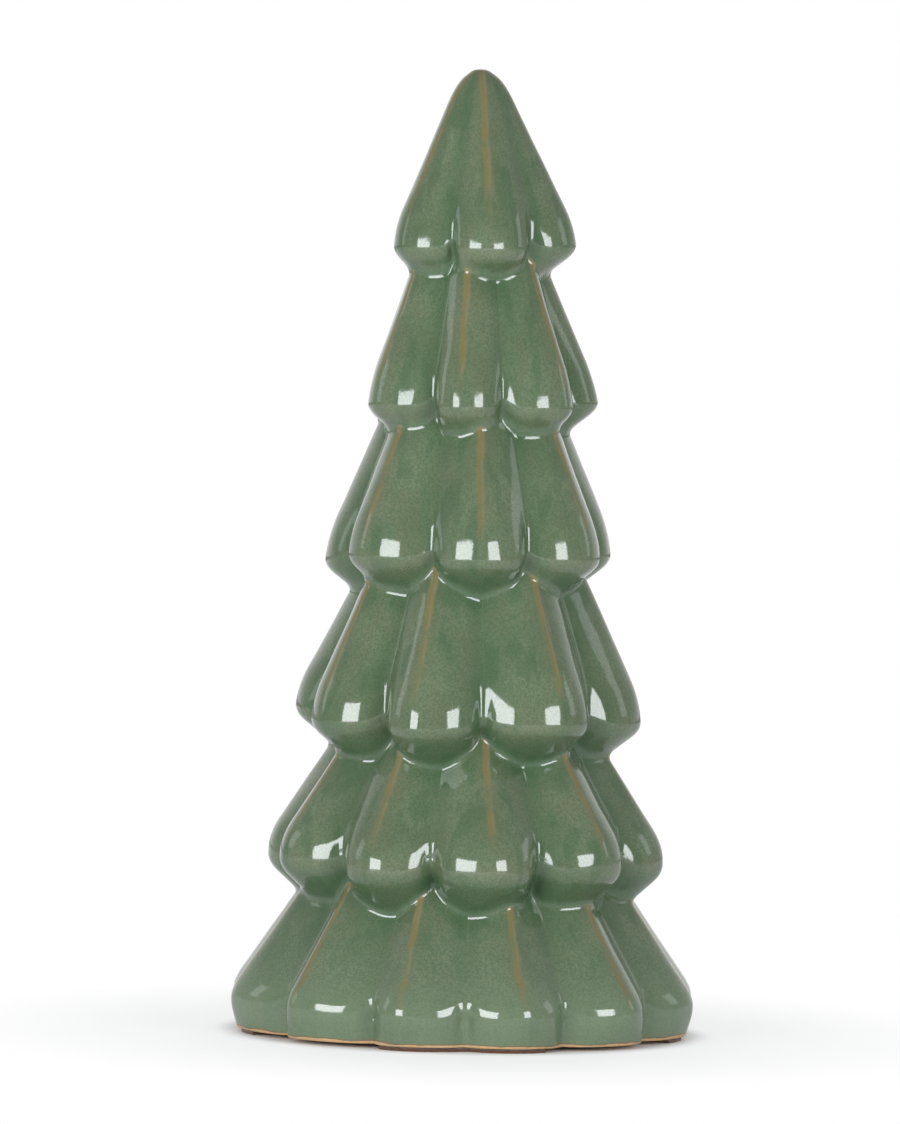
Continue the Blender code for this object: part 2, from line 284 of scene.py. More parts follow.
def bough_radius(section, bough, height):
    """Radius of a section. A bough's turn is 0 on its crest and 1 in the valley beside it."""
    turn = bough["turn"]
    down = (section["neck"] - height) / (section["neck"] - section["hip"])
    down = lowest(highest(down, 0.0), 1.0)
    bend = CREST_SHAPE_NECK + (CREST_SHAPE_HIP - CREST_SHAPE_NECK) * down * down
    soft = power(turn * turn + CREST_SOFTNESS ** 2, 0.5)
    end = (1 + CREST_SOFTNESS ** 2) ** 0.5
    flat = (soft - CREST_SOFTNESS) / (end - CREST_SOFTNESS)
    start = power(CREST_SOFTNESS, bend)
    curved = (power(soft, bend) - start) / (power(end, bend) - start)
    fall = flat * RIDGE + curved * (1.0 - RIDGE)
    under = lowest(highest((section["hip"] - height) / RIM_DEPTH, 0.0), 1.0)
    groove = section["neck_groove"] + (section["hip_groove"] - section["neck_groove"]) * down
    groove = groove + (section["rim_groove"] - section["hip_groove"]) * under
    near = 1.0 - fall
    level = height - down * fall * fall * fall * VALLEY_LIFT + down * near * bough["droop"]
    reach = 1.0 + near * down * (bough["reach"] - 1.0)
    return crest_radius(section, level) * (1.0 - groove * fall) * reach


for section in sections:
    hip_mm = round(float(crest_radius(section, section["hip"])) * 1000, 1)
    print(section["piece"], "has a crest radius of", hip_mm, "mm at its hip")

# %% [markdown]
# ## The blank
#
# Each section starts as a blank: a grid of points that knows, for every point, its direction, its
# height and where it lies between crest and valley. On the real tree the seams between sections are
# scalloped, so the blank's top and bottom follow the line where the upper section's underside meets
# the lower section's flank. That line has no formula, so it is found by halving. The rows lie closer
# together towards the seams, where the surface bends most.

# %% Directions round the tree
COLUMNS = 360
OUTER_ROWS = 96
azimuths = np.arange(COLUMNS) * (360.0 / COLUMNS)


def read_boughs(section):
    """For every column: its place between crest and valley, and the nearest bough's own values."""
    boughs = section["boughs"]
    nearest = np.full(COLUMNS, 2.0)
    fields = {"aside": np.zeros(COLUMNS), "reach": np.ones(COLUMNS), "droop": np.zeros(COLUMNS)}
    for index, (crest, valley, reach, droop) in enumerate(boughs):
        angle = (azimuths - crest + 180) % 360 - 180
        after = (valley - crest) % 360
        before = (crest - boughs[index - 1][1]) % 360
        share = np.abs(angle) / np.where(angle > 0, after, before)
        closer = share < nearest
        for name, value in (("aside", np.radians(angle)), ("reach", reach), ("droop", droop)):
            fields[name] = np.where(closer, value, fields[name])
        nearest = np.minimum(nearest, share)
    fields["turn"] = smooth_min(nearest, 2 - nearest, VALLEY_SOFTNESS)
    return fields


NO_BOUGH = {"turn": np.ones(COLUMNS), "reach": np.ones(COLUMNS), "droop": np.zeros(COLUMNS)}
for section in sections:
    section["bough"] = read_boughs(section)
print("columns:", COLUMNS, "rows down the outside:", OUTER_ROWS)

# %% Seams between the sections
HALVINGS = 40


def seam_heights(upper, lower):
    """For every column, the height at which two sections have the same radius."""
    low = np.full(COLUMNS, lower["hip"])
    high = np.full(COLUMNS, upper["hip"] + VALLEY_LIFT)
    for _ in range(HALVINGS):
        middle = (low + high) / 2
        upper_radius = bough_radius(upper, upper["bough"], middle)
        lower_radius = bough_radius(lower, lower["bough"], middle)
        outside = upper_radius > lower_radius
        high = np.where(outside, middle, high)
        low = np.where(outside, low, middle)
    return (low + high) / 2


seams = [seam_heights(upper, lower) for upper, lower in zip(sections, sections[1:])]
for section, seam in zip(sections, seams):
    lowest_mm, highest_mm = round(seam.min() * 1000, 1), round(seam.max() * 1000, 1)
    print(section["piece"], "ends at", lowest_mm, "to", highest_mm, "mm")

# %% Rows of a blank
WALL = 0.0048             # thickness of a section's wall, measured level
LIP_WIDTH = 0.0022        # width of the edge that rests on the shoulder below
JOINT_GAP = 0.0003        # clearance between a section and the collar it sits on
COLLAR_RISE = 0.0035      # collar above the highest point of its shoulder
LEDGE_RISE = 0.0025       # height over which the bore opens from the socket to the wall
FOOT_WIDTH = 0.0070       # width of the flat rim the tree stands on
FOOT_RISE = 0.0080        # height over which the rim thins to the wall
FOOT_HEIGHT = 0.0011      # felt and the gap over it
FOOT_EDGE = 0.0005        # rounding of the foot's outer edge
TIP_WALL = 0.0150         # solid clay between the tip and the top of the bore
BORE_ROWS = 8
TO_AXIS = 1.0             # an inset that puts a whole row on the axis, which closes the crown there
GLAZED = 0.0
BARE = 1.0


def blank_rows(index):
    """Rows down the outside and up the bore: (height, height the rule is asked at, inset, bare)."""
    section = sections[index]
    top = seams[index - 1] if index else np.full(COLUMNS, section["tip"])
    is_foot = index == len(seams)
    bottom = np.full(COLUMNS, FOOT_HEIGHT) if is_foot else seams[index]
    rows = []
    if index:
        collar = top.max() + COLLAR_RISE
        rows.append((np.full(COLUMNS, collar), top, LIP_WIDTH, BARE))
        rows.append((top, top, LIP_WIDTH, BARE))
    for row in range(OUTER_ROWS + 1):
        share = (1 - math.cos(math.pi * row / OUTER_ROWS)) / 2
        height = top + (bottom - top) * share
        over = np.clip(1 - (height - bottom) / FOOT_EDGE, 0, 1) if is_foot else np.zeros(COLUMNS)
        edge = FOOT_EDGE * (1 - np.sqrt(1 - over ** 2))
        inset = TO_AXIS if row == 0 and not index else edge
        rows.append((height, height, inset, GLAZED))
    if is_foot:
        rows.append((bottom, bottom, FOOT_WIDTH, BARE))
        wall_start = bottom + FOOT_RISE
    else:
        socket = bottom.max() + COLLAR_RISE + JOINT_GAP
        rows.append((bottom, bottom, LIP_WIDTH - JOINT_GAP, BARE))
        rows.append((np.full(COLUMNS, socket), bottom, LIP_WIDTH - JOINT_GAP, BARE))
        wall_start = socket + LEDGE_RISE
    bore_end = collar if index else section["tip"] - TIP_WALL
    for row in range(BORE_ROWS + 1):
        height = wall_start + (bore_end - wall_start) * row / BORE_ROWS + np.zeros(COLUMNS)
        level = np.minimum(height, top)
        rows.append((height, level, WALL, BARE))
    if not index:
        rows.append((height, level, TO_AXIS, BARE))
    return rows, top, bottom


print("rows in the skirt's blank:", len(blank_rows(len(seams))[0]))

# %% Make the blank's mesh
BLANK_RADIUS = 0.05       # a plain tube's radius, until the shaping gives every point its own
NO_SEAM = 1.0             # distance from a seam for a section that has none there


def store(mesh, name, values):
    attribute = mesh.attributes.new(name, "FLOAT", "POINT")
    attribute.data.foreach_set("value", np.ascontiguousarray(values, dtype=np.float32).ravel())


def ring_faces(rows, closed):
    """Faces between each row of points and the next, and back to the first row if closed."""
    here = np.arange(COLUMNS)
    beside = (here + 1) % COLUMNS
    faces = []
    for row in range(rows if closed else rows - 1):
        below = (row + 1) % rows
        faces.append(np.stack([row * COLUMNS + here, below * COLUMNS + here,
                               below * COLUMNS + beside, row * COLUMNS + beside], axis=1))
    return np.concatenate(faces)


def make_blank(index):
    """A section's blank. The crown's first and last rows lie on the axis, and close it there."""
    section = sections[index]
    rows, top, bottom = blank_rows(index)
    heights = np.array([row[0] for row in rows])
    levels = np.array([row[1] for row in rows])
    insets = np.array([np.broadcast_to(row[2], COLUMNS) for row in rows])
    bare = np.array([np.full(COLUMNS, row[3]) for row in rows])
    angle = np.radians(azimuths)
    across = np.broadcast_to(np.sin(angle) * BLANK_RADIUS, heights.shape)
    away = np.broadcast_to(-np.cos(angle) * BLANK_RADIUS, heights.shape)
    places = np.stack([across, away, heights], axis=-1)
    mesh = bpy.data.meshes.new(section["piece"] + "_blank")
    faces = ring_faces(len(rows), closed=index > 0)
    mesh.from_pydata(places.reshape(-1, 3).tolist(), [], faces.tolist())
    to_top = top - heights if index else np.full(heights.shape, NO_SEAM)
    to_bottom = heights - bottom if index < len(seams) else np.full(heights.shape, NO_SEAM)
    boughs = {"own": section["bough"],
              "above": sections[index - 1]["bough"] if index else NO_BOUGH,
              "below": sections[index + 1]["bough"] if index < len(seams) else NO_BOUGH}
    for role, bough in boughs.items():
        for field in BOUGH_FIELDS:
            store(mesh, f"{role}_{field}", np.broadcast_to(bough[field], heights.shape))
    store(mesh, "azimuth", np.broadcast_to(angle, heights.shape))
    store(mesh, "height", heights)
    store(mesh, "level", levels)
    store(mesh, "inset", insets)
    store(mesh, "bare", bare)
    store(mesh, "aside", np.broadcast_to(section["bough"]["aside"], heights.shape))
    store(mesh, "seam_above", to_top)
    store(mesh, "seam_below", to_bottom)
    store(mesh, "down", (section["neck"] - heights) / (section["neck"] - section["hip"]))
    return mesh


# %% [markdown]
# ## Shaping the blank with Geometry Nodes
#
# The tree of nodes below is the potter's profile gauge. It asks the rule for the radius of this
# section and of its two neighbours, takes the widest with a small fillet between them, and moves
# each point of the blank there. A slow, shallow noise stands for the hand-finished clay. One tree
# serves all six sections: only its inputs differ. Because both sides of a seam ask the same rule,
# the glaze runs across it without a step.

# %% Build the rule as a node group
ROLES = ("own", "above", "below")


def new_tree(name, inputs, outputs):
    tree = bpy.data.node_groups.new(name, "GeometryNodeTree")
    for label, kind in inputs:
        tree.interface.new_socket(name=label, in_out="INPUT", socket_type=kind)
    for label, kind in outputs:
        tree.interface.new_socket(name=label, in_out="OUTPUT", socket_type=kind)
    entry = tree.nodes.new("NodeGroupInput")
    wires = {label: Wire(tree, entry.outputs[label]) for label, _ in inputs}
    return tree, wires, tree.nodes.new("NodeGroupOutput")


def make_rule_group():
    inputs = [(label, "NodeSocketFloat") for label in (*BOUGH_FIELDS, "height", *RULE_SIZES)]
    tree, wires, exit_node = new_tree("radius of a section", inputs, [("radius", "NodeSocketFloat")])
    plug(tree, bough_radius(wires, wires, wires["height"]), exit_node.inputs["radius"])
    return tree


rule_group = make_rule_group()
print("nodes in the rule:", len(rule_group.nodes))

# %% The skin's radius
WOBBLE = 0.00045          # height of the hand-finished unevenness
WOBBLE_SCALE = 55.0       # its waves per metre
WOBBLE_DETAIL = 1.0
WOBBLE_FADE = 0.0060      # radius under which it fades, so that the tip stays round
FILLET_FADE = 0.0025      # radius under which the fillet fades, for the same reason
WELD = 0.000001           # points closer than this become one, as those on the axis do


def read_attribute(tree, name):
    node = add_node(tree, "GeometryNodeInputNamedAttribute", data_type="FLOAT")
    node.inputs["Name"].default_value = name
    return Wire(tree, node.outputs["Attribute"])


def turn_to_place(radius, azimuth, height):
    """The place at a radius and a height, round from the front by the right."""
    tree = azimuth.tree
    sine = azimuth.leave(add_node(tree, "ShaderNodeMath", operation="SINE"), (azimuth,))
    cosine = azimuth.leave(add_node(tree, "ShaderNodeMath", operation="COSINE"), (azimuth,))
    place = add_node(tree, "ShaderNodeCombineXYZ")
    return radius.leave(place, (radius * sine, radius * cosine * -1.0, height))


def widest_skin(tree, wires, level):
    """The widest of a section and its neighbours, with a fillet where they meet."""
    radii = {}
    for role in ROLES:
        group = add_node(tree, "GeometryNodeGroup", node_tree=rule_group)
        for field in BOUGH_FIELDS:
            plug(tree, read_attribute(tree, f"{role}_{field}"), group.inputs[field])
        plug(tree, level, group.inputs["height"])
        for label in RULE_SIZES:
            plug(tree, wires[f"{role} {label}"], group.inputs[label])
        radii[role] = Wire(tree, group.outputs["radius"])
    skin = radii["own"]
    for role in ROLES[1:]:
        skin = smooth_max(skin, radii[role], wires["Fillet"])
    return radii["own"] + (skin - radii["own"]) * lowest(radii["own"] / FILLET_FADE, 1.0)


def uneven_clay(wires, skin, azimuth, level):
    """How far the hand-finished clay lies out from the rule. It fades at the tip."""
    noise = add_node(skin.tree, "ShaderNodeTexNoise", noise_dimensions="3D")
    plug(skin.tree, turn_to_place(skin, azimuth, level), noise.inputs["Vector"])
    noise.inputs["Scale"].default_value = WOBBLE_SCALE
    noise.inputs["Detail"].default_value = WOBBLE_DETAIL
    uneven = Wire(skin.tree, noise.outputs["Fac"]) - 0.5
    return uneven * wires["Wobble"] * lowest(skin / WOBBLE_FADE, 1.0)


# %% Build the shaping tree
def pass_on(geometry, kind, **settings):
    """A node that takes a geometry, and the wire by which it gives it on."""
    node = add_node(geometry.tree, kind, **settings)
    plug(geometry.tree, geometry, node.inputs["Geometry"])
    return node, Wire(geometry.tree, node.outputs["Geometry"])


def make_shaping_tree():
    inputs = [("Geometry", "NodeSocketGeometry"), ("Glaze", "NodeSocketMaterial"),
              ("Fillet", "NodeSocketFloat"), ("Wobble", "NodeSocketFloat")]
    inputs += [(f"{role} {label}", "NodeSocketFloat") for role in ROLES for label in RULE_SIZES]
    tree, wires, exit_node = new_tree("shape a section", inputs, [("Geometry", "NodeSocketGeometry")])
    level = read_attribute(tree, "level")
    azimuth = read_attribute(tree, "azimuth")
    skin = widest_skin(tree, wires, level)
    uneven = uneven_clay(wires, skin, azimuth, level)
    radius = highest(skin + uneven - read_attribute(tree, "inset"), 0.0)
    place = turn_to_place(radius, azimuth, read_attribute(tree, "height"))

    moved, geometry = pass_on(wires["Geometry"], "GeometryNodeSetPosition")
    plug(tree, place, moved.inputs["Position"])
    stored, geometry = pass_on(geometry, "GeometryNodeStoreNamedAttribute", data_type="FLOAT",
                               domain="POINT")
    stored.inputs["Name"].default_value = "off_crest"
    plug(tree, radius * read_attribute(tree, "aside"), stored.inputs["Value"])
    welded, geometry = pass_on(geometry, "GeometryNodeMergeByDistance")
    welded.inputs["Distance"].default_value = WELD
    _, geometry = pass_on(geometry, "GeometryNodeRealizeInstances")
    coated, geometry = pass_on(geometry, "GeometryNodeSetMaterial")
    plug(tree, wires["Glaze"], coated.inputs["Material"])
    plug(tree, geometry, exit_node.inputs["Geometry"])
    return tree


shaping_tree = make_shaping_tree()
print("nodes in the shaping tree:", len(shaping_tree.nodes))

# %% [markdown]
# ## The glaze
#
# The glaze is a transparent green glass over pale clay. Where it is thick, in valleys and along the
# seams, it is dark and green. Where it runs thin, over the crests, the clay and iron show through as
# a soft ochre line, with a pale core that is partly thin glaze and partly a painted highlight along
# the ridge. A faint iron tint lies beside the line and in patches under the hips. The undersides get
# painted shade, a deeper green, and the band at the foot gets painted bounce light from the floor,
# which makes it paler. Fine crystals make the glaze grainy. An image could hold all this, but
# procedural noise has no seams and no resolution, so the pattern is mixed from noise and from what
# each point knows about its own place on the bough.

# %% Colour helpers
def linear(red, green, blue):
    """A colour read from the photo as 0 to 255, put through the sRGB curve as Blender wants it."""
    shares = [value / 255 for value in (red, green, blue)]
    curved = [s / 12.92 if s < 0.04045 else ((s + 0.055) / 1.055) ** 2.4 for s in shares]
    return (*curved, 1.0)


def noise_wire(vector, scale, detail=2.0, roughness=0.5):
    node = add_node(vector.tree, "ShaderNodeTexNoise")
    plug(vector.tree, vector, node.inputs["Vector"])
    for name, value in (("Scale", scale), ("Detail", detail), ("Roughness", roughness)):
        node.inputs[name].default_value = value
    return Wire(vector.tree, node.outputs["Fac"])


def ramp(wire, low, high, start=0.0, end=1.0):
    """A smooth step from start to end as the wire goes from low to high."""
    node = add_node(wire.tree, "ShaderNodeMapRange", interpolation_type="SMOOTHSTEP")
    return wire.leave(node, (wire, low, high, start, end))


def mix_colours(amount, first, second):
    node = add_node(amount.tree, "ShaderNodeMix", data_type="RGBA")
    plug(amount.tree, amount, node.inputs["Factor"])
    colours = [socket for socket in node.inputs if socket.type == "RGBA"]
    plug(amount.tree, first, colours[0])
    plug(amount.tree, second, colours[1])
    result = [socket for socket in node.outputs if socket.type == "RGBA"][0]
    return Wire(amount.tree, result)


def mix_values(amount, first, second):
    """The first value where amount is 0 and the second where it is 1."""
    return first + amount * (second - first)


print("a middle grey of the photo as a linear colour:", round(linear(128, 128, 128)[0], 3))

# %% Material helpers
def new_material(name):
    material = bpy.data.materials.new(name)
    material.use_nodes = True
    return material, material.node_tree


def object_place(tree):
    return Wire(tree, add_node(tree, "ShaderNodeTexCoord").outputs["Object"])


def shader_attribute(tree, name):
    return Wire(tree, add_node(tree, "ShaderNodeAttribute", attribute_name=name).outputs["Fac"])


def add_bump(shader, height):
    """Bumps on a shader, from heights in real metres."""
    bump = add_node(height.tree, "ShaderNodeBump")
    bump.inputs["Strength"].default_value = 1.0
    bump.inputs["Distance"].default_value = 1.0
    plug(height.tree, height, bump.inputs["Height"])
    height.tree.links.new(bump.outputs["Normal"], shader.inputs["Normal"])


# %% What a point of the glaze knows
# of each noise: its waves per metre, its detail and, where it isn't 0.5, its roughness
CLOUDS = (70.0, 3.0)
PATCHES = (160.0, 3.0, 0.6)
GRAIN = (1900.0, 2.0, 0.7)
RUNS = (190.0, 2.0)
RUN_STRETCH = 0.10        # the glaze has run down, so its runs are ten times as long as wide
KNOWN = ("own_turn", "down", "bare", "off_crest", "seam_above", "seam_below")


def read_point(tree):
    """A point's place on its bough, from the blank, and the noise that it lies in."""
    spot = object_place(tree)
    split = add_node(tree, "ShaderNodeSeparateXYZ")
    stretch = add_node(tree, "ShaderNodeVectorMath", operation="MULTIPLY")
    stretched = spot.leave(stretch, (spot, (1.0, 1.0, RUN_STRETCH)))
    point = {name: shader_attribute(tree, name) for name in KNOWN}
    point["spot"] = spot
    point["height"] = spot.leave(split, (spot,), output=2)
    point["clouds"] = noise_wire(spot, *CLOUDS)
    point["patches"] = noise_wire(spot, *PATCHES)
    point["grain"] = noise_wire(spot, *GRAIN)
    point["runs"] = noise_wire(stretched, *RUNS)
    return point


# %% [markdown]
# ### Layer by layer
#
# The colour is mixed in layers. First comes the mottled green, which is darker where the glaze has
# pooled. Then comes the iron that shows where it is thin, and then the line along each crest. Bare
# clay comes last, because no glaze shows where it is. One long sum would give the same colour, but a
# layer with a function of its own can be read, changed or left out by itself.

# %% The green body
GREEN = linear(91, 106, 80)
PALE_GREEN = linear(104, 118, 92)
DEEP_GREEN = linear(60, 87, 59)
IRON_GREEN = linear(109, 106, 82)
# a paler green for painted bounce light from the floor near the foot
BOUNCE_LIT_GREEN = linear(107, 123, 98)
# a noise, the values between which a tint comes in, the tint's greatest share, and the tint
BODY_TINTS = [
    ("clouds", (0.30, 0.72), 1.0, PALE_GREEN),
    ("patches", (0.50, 0.78), 0.14, IRON_GREEN),
    ("runs", (0.50, 0.66), 0.28, IRON_GREEN),
    ("runs", (0.48, 0.36), 0.40, DEEP_GREEN),
]
# where the glaze pools, the values between which it gets thick there, and its share of deep green
POOLS = [
    ("own_turn", (0.55, 1.0), 0.45),
    ("seam_above", (0.009, 0.0), 0.45),
    ("seam_below", (0.006, 0.0), 0.25),
]
POOL_PATCHES = (0.25, 0.65, 0.55, 1.0)    # two values of the noise, and the pool's share at each
BOUNCE_BAND = (0.036, 0.010)      # between these heights painted bounce light from the floor makes the glaze paler
BOUNCE_SHARE = 0.75
CRYSTALS = (0.40, 0.62)         # values of the grain between which crystals darken the glaze
CRYSTAL_SHARE = (0.009, 0.022, 0.22, 0.55)    # two heights, and the crystals' share at each


def mix_body(point):
    """Mottled green, thick and dark in its pools, with painted bounce light making it pale at the
    foot, and fine dark crystals.
    """
    colour = GREEN
    for noise, span, share, tint in BODY_TINTS:
        colour = mix_colours(ramp(point[noise], *span) * share, colour, tint)
    pool = sum(ramp(point[place], *span) * share for place, span, share in POOLS)
    pool = pool * ramp(point["patches"], *POOL_PATCHES)
    colour = mix_colours(lowest(pool, 1.0), colour, DEEP_GREEN)
    # painted bounce light: the green gets paler towards the foot
    colour = mix_colours(ramp(point["height"], *BOUNCE_BAND) * BOUNCE_SHARE, colour, BOUNCE_LIT_GREEN)
    crystals = ramp(point["grain"], *CRYSTALS) * ramp(point["height"], *CRYSTAL_SHARE)
    return mix_colours(crystals, colour, DEEP_GREEN)


# %% Iron beside the crests and under the hips, and painted shade on the undersides
DRIFT = (130.0, 2.0)            # noise by which a crest's line wanders
DRIFT_WIDTH = 0.0012            # the most that it wanders, from side to side
CORE_SHIFT = 0.0004             # the line's core lies a little to the right of its middle
# pairs of places down a section, where 0 is its neck, 1 is its hip, and more is its underside
LINE_END = (1.00, 0.62)
HIP_IRON_START = (1.00, 1.07)
HIP_IRON_END = (1.26, 1.12)
# where painted shade darkens the underside
UNDERSIDE = (1.10, 1.34)
CREST_REACH = 0.0050            # how far from a crest the iron still tints the green
CREST_IRON = 0.20
HIP_CLOUDS = (0.40, 0.60)       # values of the clouds between which a hip has its iron
HIP_IRON = 0.22
UNDERSIDE_SHADE_SHARE = 0.45


def read_crest(point):
    """How far a point is from its crest's wandering line, and how much of the line is left there."""
    across = point["off_crest"] + (noise_wire(point["spot"], *DRIFT) - 0.5) * DRIFT_WIDTH
    point["off_line"] = highest(across, -across)
    point["off_core"] = highest(across - CORE_SHIFT, CORE_SHIFT - across)
    point["line_left"] = ramp(point["down"], *LINE_END)


def tint_hips(point, colour):
    """Iron beside each crest and below each hip's edge, and painted shade as deep green on the
    undersides.
    """
    down = point["down"]
    off_foot = ramp(point["height"], *BOUNCE_BAND, 1.0, 0.0)
    beside_crest = ramp(point["off_line"], CREST_REACH, 0.0) * point["line_left"]
    colour = mix_colours(beside_crest * CREST_IRON, colour, IRON_GREEN)
    below_edge = ramp(down, *HIP_IRON_START) * ramp(down, *HIP_IRON_END) * off_foot
    below_edge = below_edge * ramp(point["clouds"], *HIP_CLOUDS)
    colour = mix_colours(below_edge * HIP_IRON, colour, IRON_GREEN)
    # painted shade: the undersides are darkened towards deep green
    return mix_colours(ramp(down, *UNDERSIDE) * off_foot * UNDERSIDE_SHADE_SHARE, colour, DEEP_GREEN)


# %% The ochre line along a crest
OCHRE = linear(116, 106, 68)
# the core's colour: partly thin glaze, partly a painted highlight along the ridge
PALE_CREST_AND_SHEEN = linear(116, 115, 90)
CREST_WIDTH = 0.00105                     # half the width of the ochre line
LINE_EDGE = (CREST_WIDTH * 1.3, CREST_WIDTH * 0.6)    # where its soft edge starts and ends
CORE_WIDTH = 0.0006                       # half the width of the paler core in it, partly a painted highlight
BREAKS = (110.0, 2.0)                     # noise by which the line gets weaker in places
BREAK_SHARE = (0.38, 0.58, 0.30, 1.0)     # two values of that noise, and the line's share at each
UNBROKEN = (0.45, 0.15)                   # places down a section between which it gets whole
CORE_PATCHES = (0.35, 0.60)               # values of the patches between which the core shows
OCHRE_SHARE = 0.85
CORE_SHARE = 0.7


def draw_line(point, colour):
    """A soft ochre line along each crest, with a paler core that is partly a painted highlight; it
    fades towards the hip.
    """
    whole = ramp(noise_wire(point["spot"], *BREAKS), *BREAK_SHARE)
    whole = highest(whole, ramp(point["down"], *UNBROKEN))
    line = ramp(point["off_line"], *LINE_EDGE) * whole * point["line_left"]
    core = ramp(point["off_core"], CORE_WIDTH, 0.0) * ramp(point["patches"], *CORE_PATCHES)
    colour = mix_colours(line * OCHRE_SHARE, colour, OCHRE)
    # the pale core: partly thin glaze, partly a painted highlight along the ridge
    return mix_colours(core * point["line_left"] * CORE_SHARE, colour, PALE_CREST_AND_SHEEN)


# %% The bare clay at the foot
CLAY = linear(201, 167, 124)
DARK_CLAY = linear(176, 140, 98)
BURNT_CLAY = linear(120, 74, 44)
CLAY_GRAIN = (900.0, 3.0)
GLAZE_LINE = 0.0018       # height of the glaze's lower edge
RAGGED = (140.0, 3.0)     # noise by which that edge goes up and down
RAGGED_HEIGHT = 0.0012
EDGE_SOFTNESS = 0.00012
SCORCH_REACH = 0.0006     # how far above the edge the thin glaze is scorched
SCORCH_SHARE = 0.6


def bare_foot(point, colour):
    """The colour with bare clay under the glaze's ragged edge and inside, and where that clay is."""
    edge = GLAZE_LINE + (noise_wire(point["spot"], *RAGGED) - 0.5) * RAGGED_HEIGHT
    over = point["height"] - edge
    clay = highest(ramp(over, EDGE_SOFTNESS, -EDGE_SOFTNESS), point["bare"])
    colour = mix_colours(ramp(over, SCORCH_REACH, 0.0) * SCORCH_SHARE, colour, BURNT_CLAY)
    clay_colour = mix_colours(noise_wire(point["spot"], *CLAY_GRAIN), CLAY, DARK_CLAY)
    return mix_colours(clay, colour, clay_colour), clay


# %% [markdown]
# ### Shine and bumps
#
# A glaze is smooth but never quite flat: it swells slowly, and its crystals give it a fine grain.
# Both bend its highlights and are too shallow for the mesh, so they are bumps, which only turn the
# direction that the surface seems to face. The bare clay is rough and dull.

# %% Make the glaze
GLOSS = (0.3, 0.8, 0.055, 0.14)       # two values of the grain, and the glaze's roughness at each
CLAY_ROUGHNESS = 0.85
GLAZE_IOR = 1.62
SWELL = 0.000045                      # heights of the bumps, in metres
SWELL_NOISE = (210.0, 2.0)
SLOW_SWELL = 0.00018
SLOW_NOISE = (100.0, 1.0)
GRAIN_BUMPS = 0.0000028
CLAY_BUMPS = 0.00003
CLAY_NOISE = (1500.0, 3.0)


def make_glaze():
    material, tree = new_material("green_glaze_mottled")
    shader = tree.nodes["Principled BSDF"]
    point = read_point(tree)
    read_crest(point)
    colour = draw_line(point, tint_hips(point, mix_body(point)))
    colour, clay = bare_foot(point, colour)
    plug(tree, colour, shader.inputs["Base Color"])
    plug(tree, mix_values(clay, ramp(point["grain"], *GLOSS), CLAY_ROUGHNESS),
         shader.inputs["Roughness"])
    shader.inputs["IOR"].default_value = GLAZE_IOR

    spot = point["spot"]
    swell = noise_wire(spot, *SWELL_NOISE) * SWELL + noise_wire(spot, *SLOW_NOISE) * SLOW_SWELL
    rough_clay = noise_wire(spot, *CLAY_NOISE) * clay * CLAY_BUMPS
    add_bump(shader, swell + point["grain"] * GRAIN_BUMPS + rough_clay)
    return material


glaze = make_glaze()
print("nodes in the glaze:", len(glaze.node_tree.nodes))

# %% [markdown]
# ## The six glazed sections
#
# Each blank goes through the shaping tree, and the result is kept as a plain mesh. It replaces its
# section of the imported model, which stays behind for collision, and gets the glaze made above.

# %% Shape every section
SHARP_ANGLE = math.radians(50)


def shape_section(index):
    section = sections[index]
    blank = add_object(section["piece"] + "_blank", make_blank(index))
    gauge = blank.modifiers.new("gauge", "NODES")
    gauge.node_group = shaping_tree
    roles = {"own": section,
             "above": sections[index - 1] if index else EMPTY,
             "below": sections[index + 1] if index < len(seams) else EMPTY}
    values = {"Glaze": glaze, "Fillet": FILLET, "Wobble": WOBBLE}
    for role, source in roles.items():
        values.update({f"{role} {label}": source[label] for label in RULE_SIZES})
    for item in shaping_tree.interface.items_tree:
        if item.in_out == "INPUT" and item.name in values:
            gauge[item.identifier] = values[item.name]
    shaped = blank.evaluated_get(bpy.context.evaluated_depsgraph_get())
    mesh = bpy.data.meshes.new_from_object(shaped)
    bpy.data.objects.remove(blank)
    mesh.name = section["piece"]
    mesh.shade_smooth()
    mesh.set_sharp_from_angle(angle=SHARP_ANGLE)
    return add_object(section["piece"], mesh)


pieces = [shape_section(index) for index in range(len(sections))]
for piece, section in zip(pieces, sections):
    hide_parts(section["node"])
    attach(piece, "root")
    print(piece.name, len(piece.data.vertices), "points", len(piece.data.polygons), "faces")

# %% [markdown]
# ## Felt strips
#
# Four felt strips, at the front, right, back and left, keep the bare clay off the table. From the
# front they are only a dark line under the rim, and their dark brown is partly painted shade for the
# shadow under the rim. Their shape in the imported model is right, so they keep it and only get a
# felt finish: brown wool with fibres that catch light at a low angle.

# %% Make the felt
# dark brown wool, partly painted shade for the dark line under the rim
DARK_WOOL_AND_SHADE = linear(58, 38, 28)
LIGHT_WOOL = linear(98, 66, 46)
FIBRES = (2600.0, 4.0, 0.8)     # waves per metre, detail and roughness of the fibres' noise
FIBRE_SPAN = (0.35, 0.65)       # its values between which dark wool turns light
FIBRE_HEIGHT = 0.00008
FELT_ROUGHNESS = 0.95
FELT_SHEEN = 0.4


def make_felt():
    material, tree = new_material("brown_felt_wool")
    shader = tree.nodes["Principled BSDF"]
    fibres = noise_wire(object_place(tree), *FIBRES)
    colour = mix_colours(ramp(fibres, *FIBRE_SPAN), DARK_WOOL_AND_SHADE, LIGHT_WOOL)
    plug(tree, colour, shader.inputs["Base Color"])
    shader.inputs["Roughness"].default_value = FELT_ROUGHNESS
    shader.inputs["Sheen Weight"].default_value = FELT_SHEEN
    add_bump(shader, fibres * FIBRE_HEIGHT)
    return material


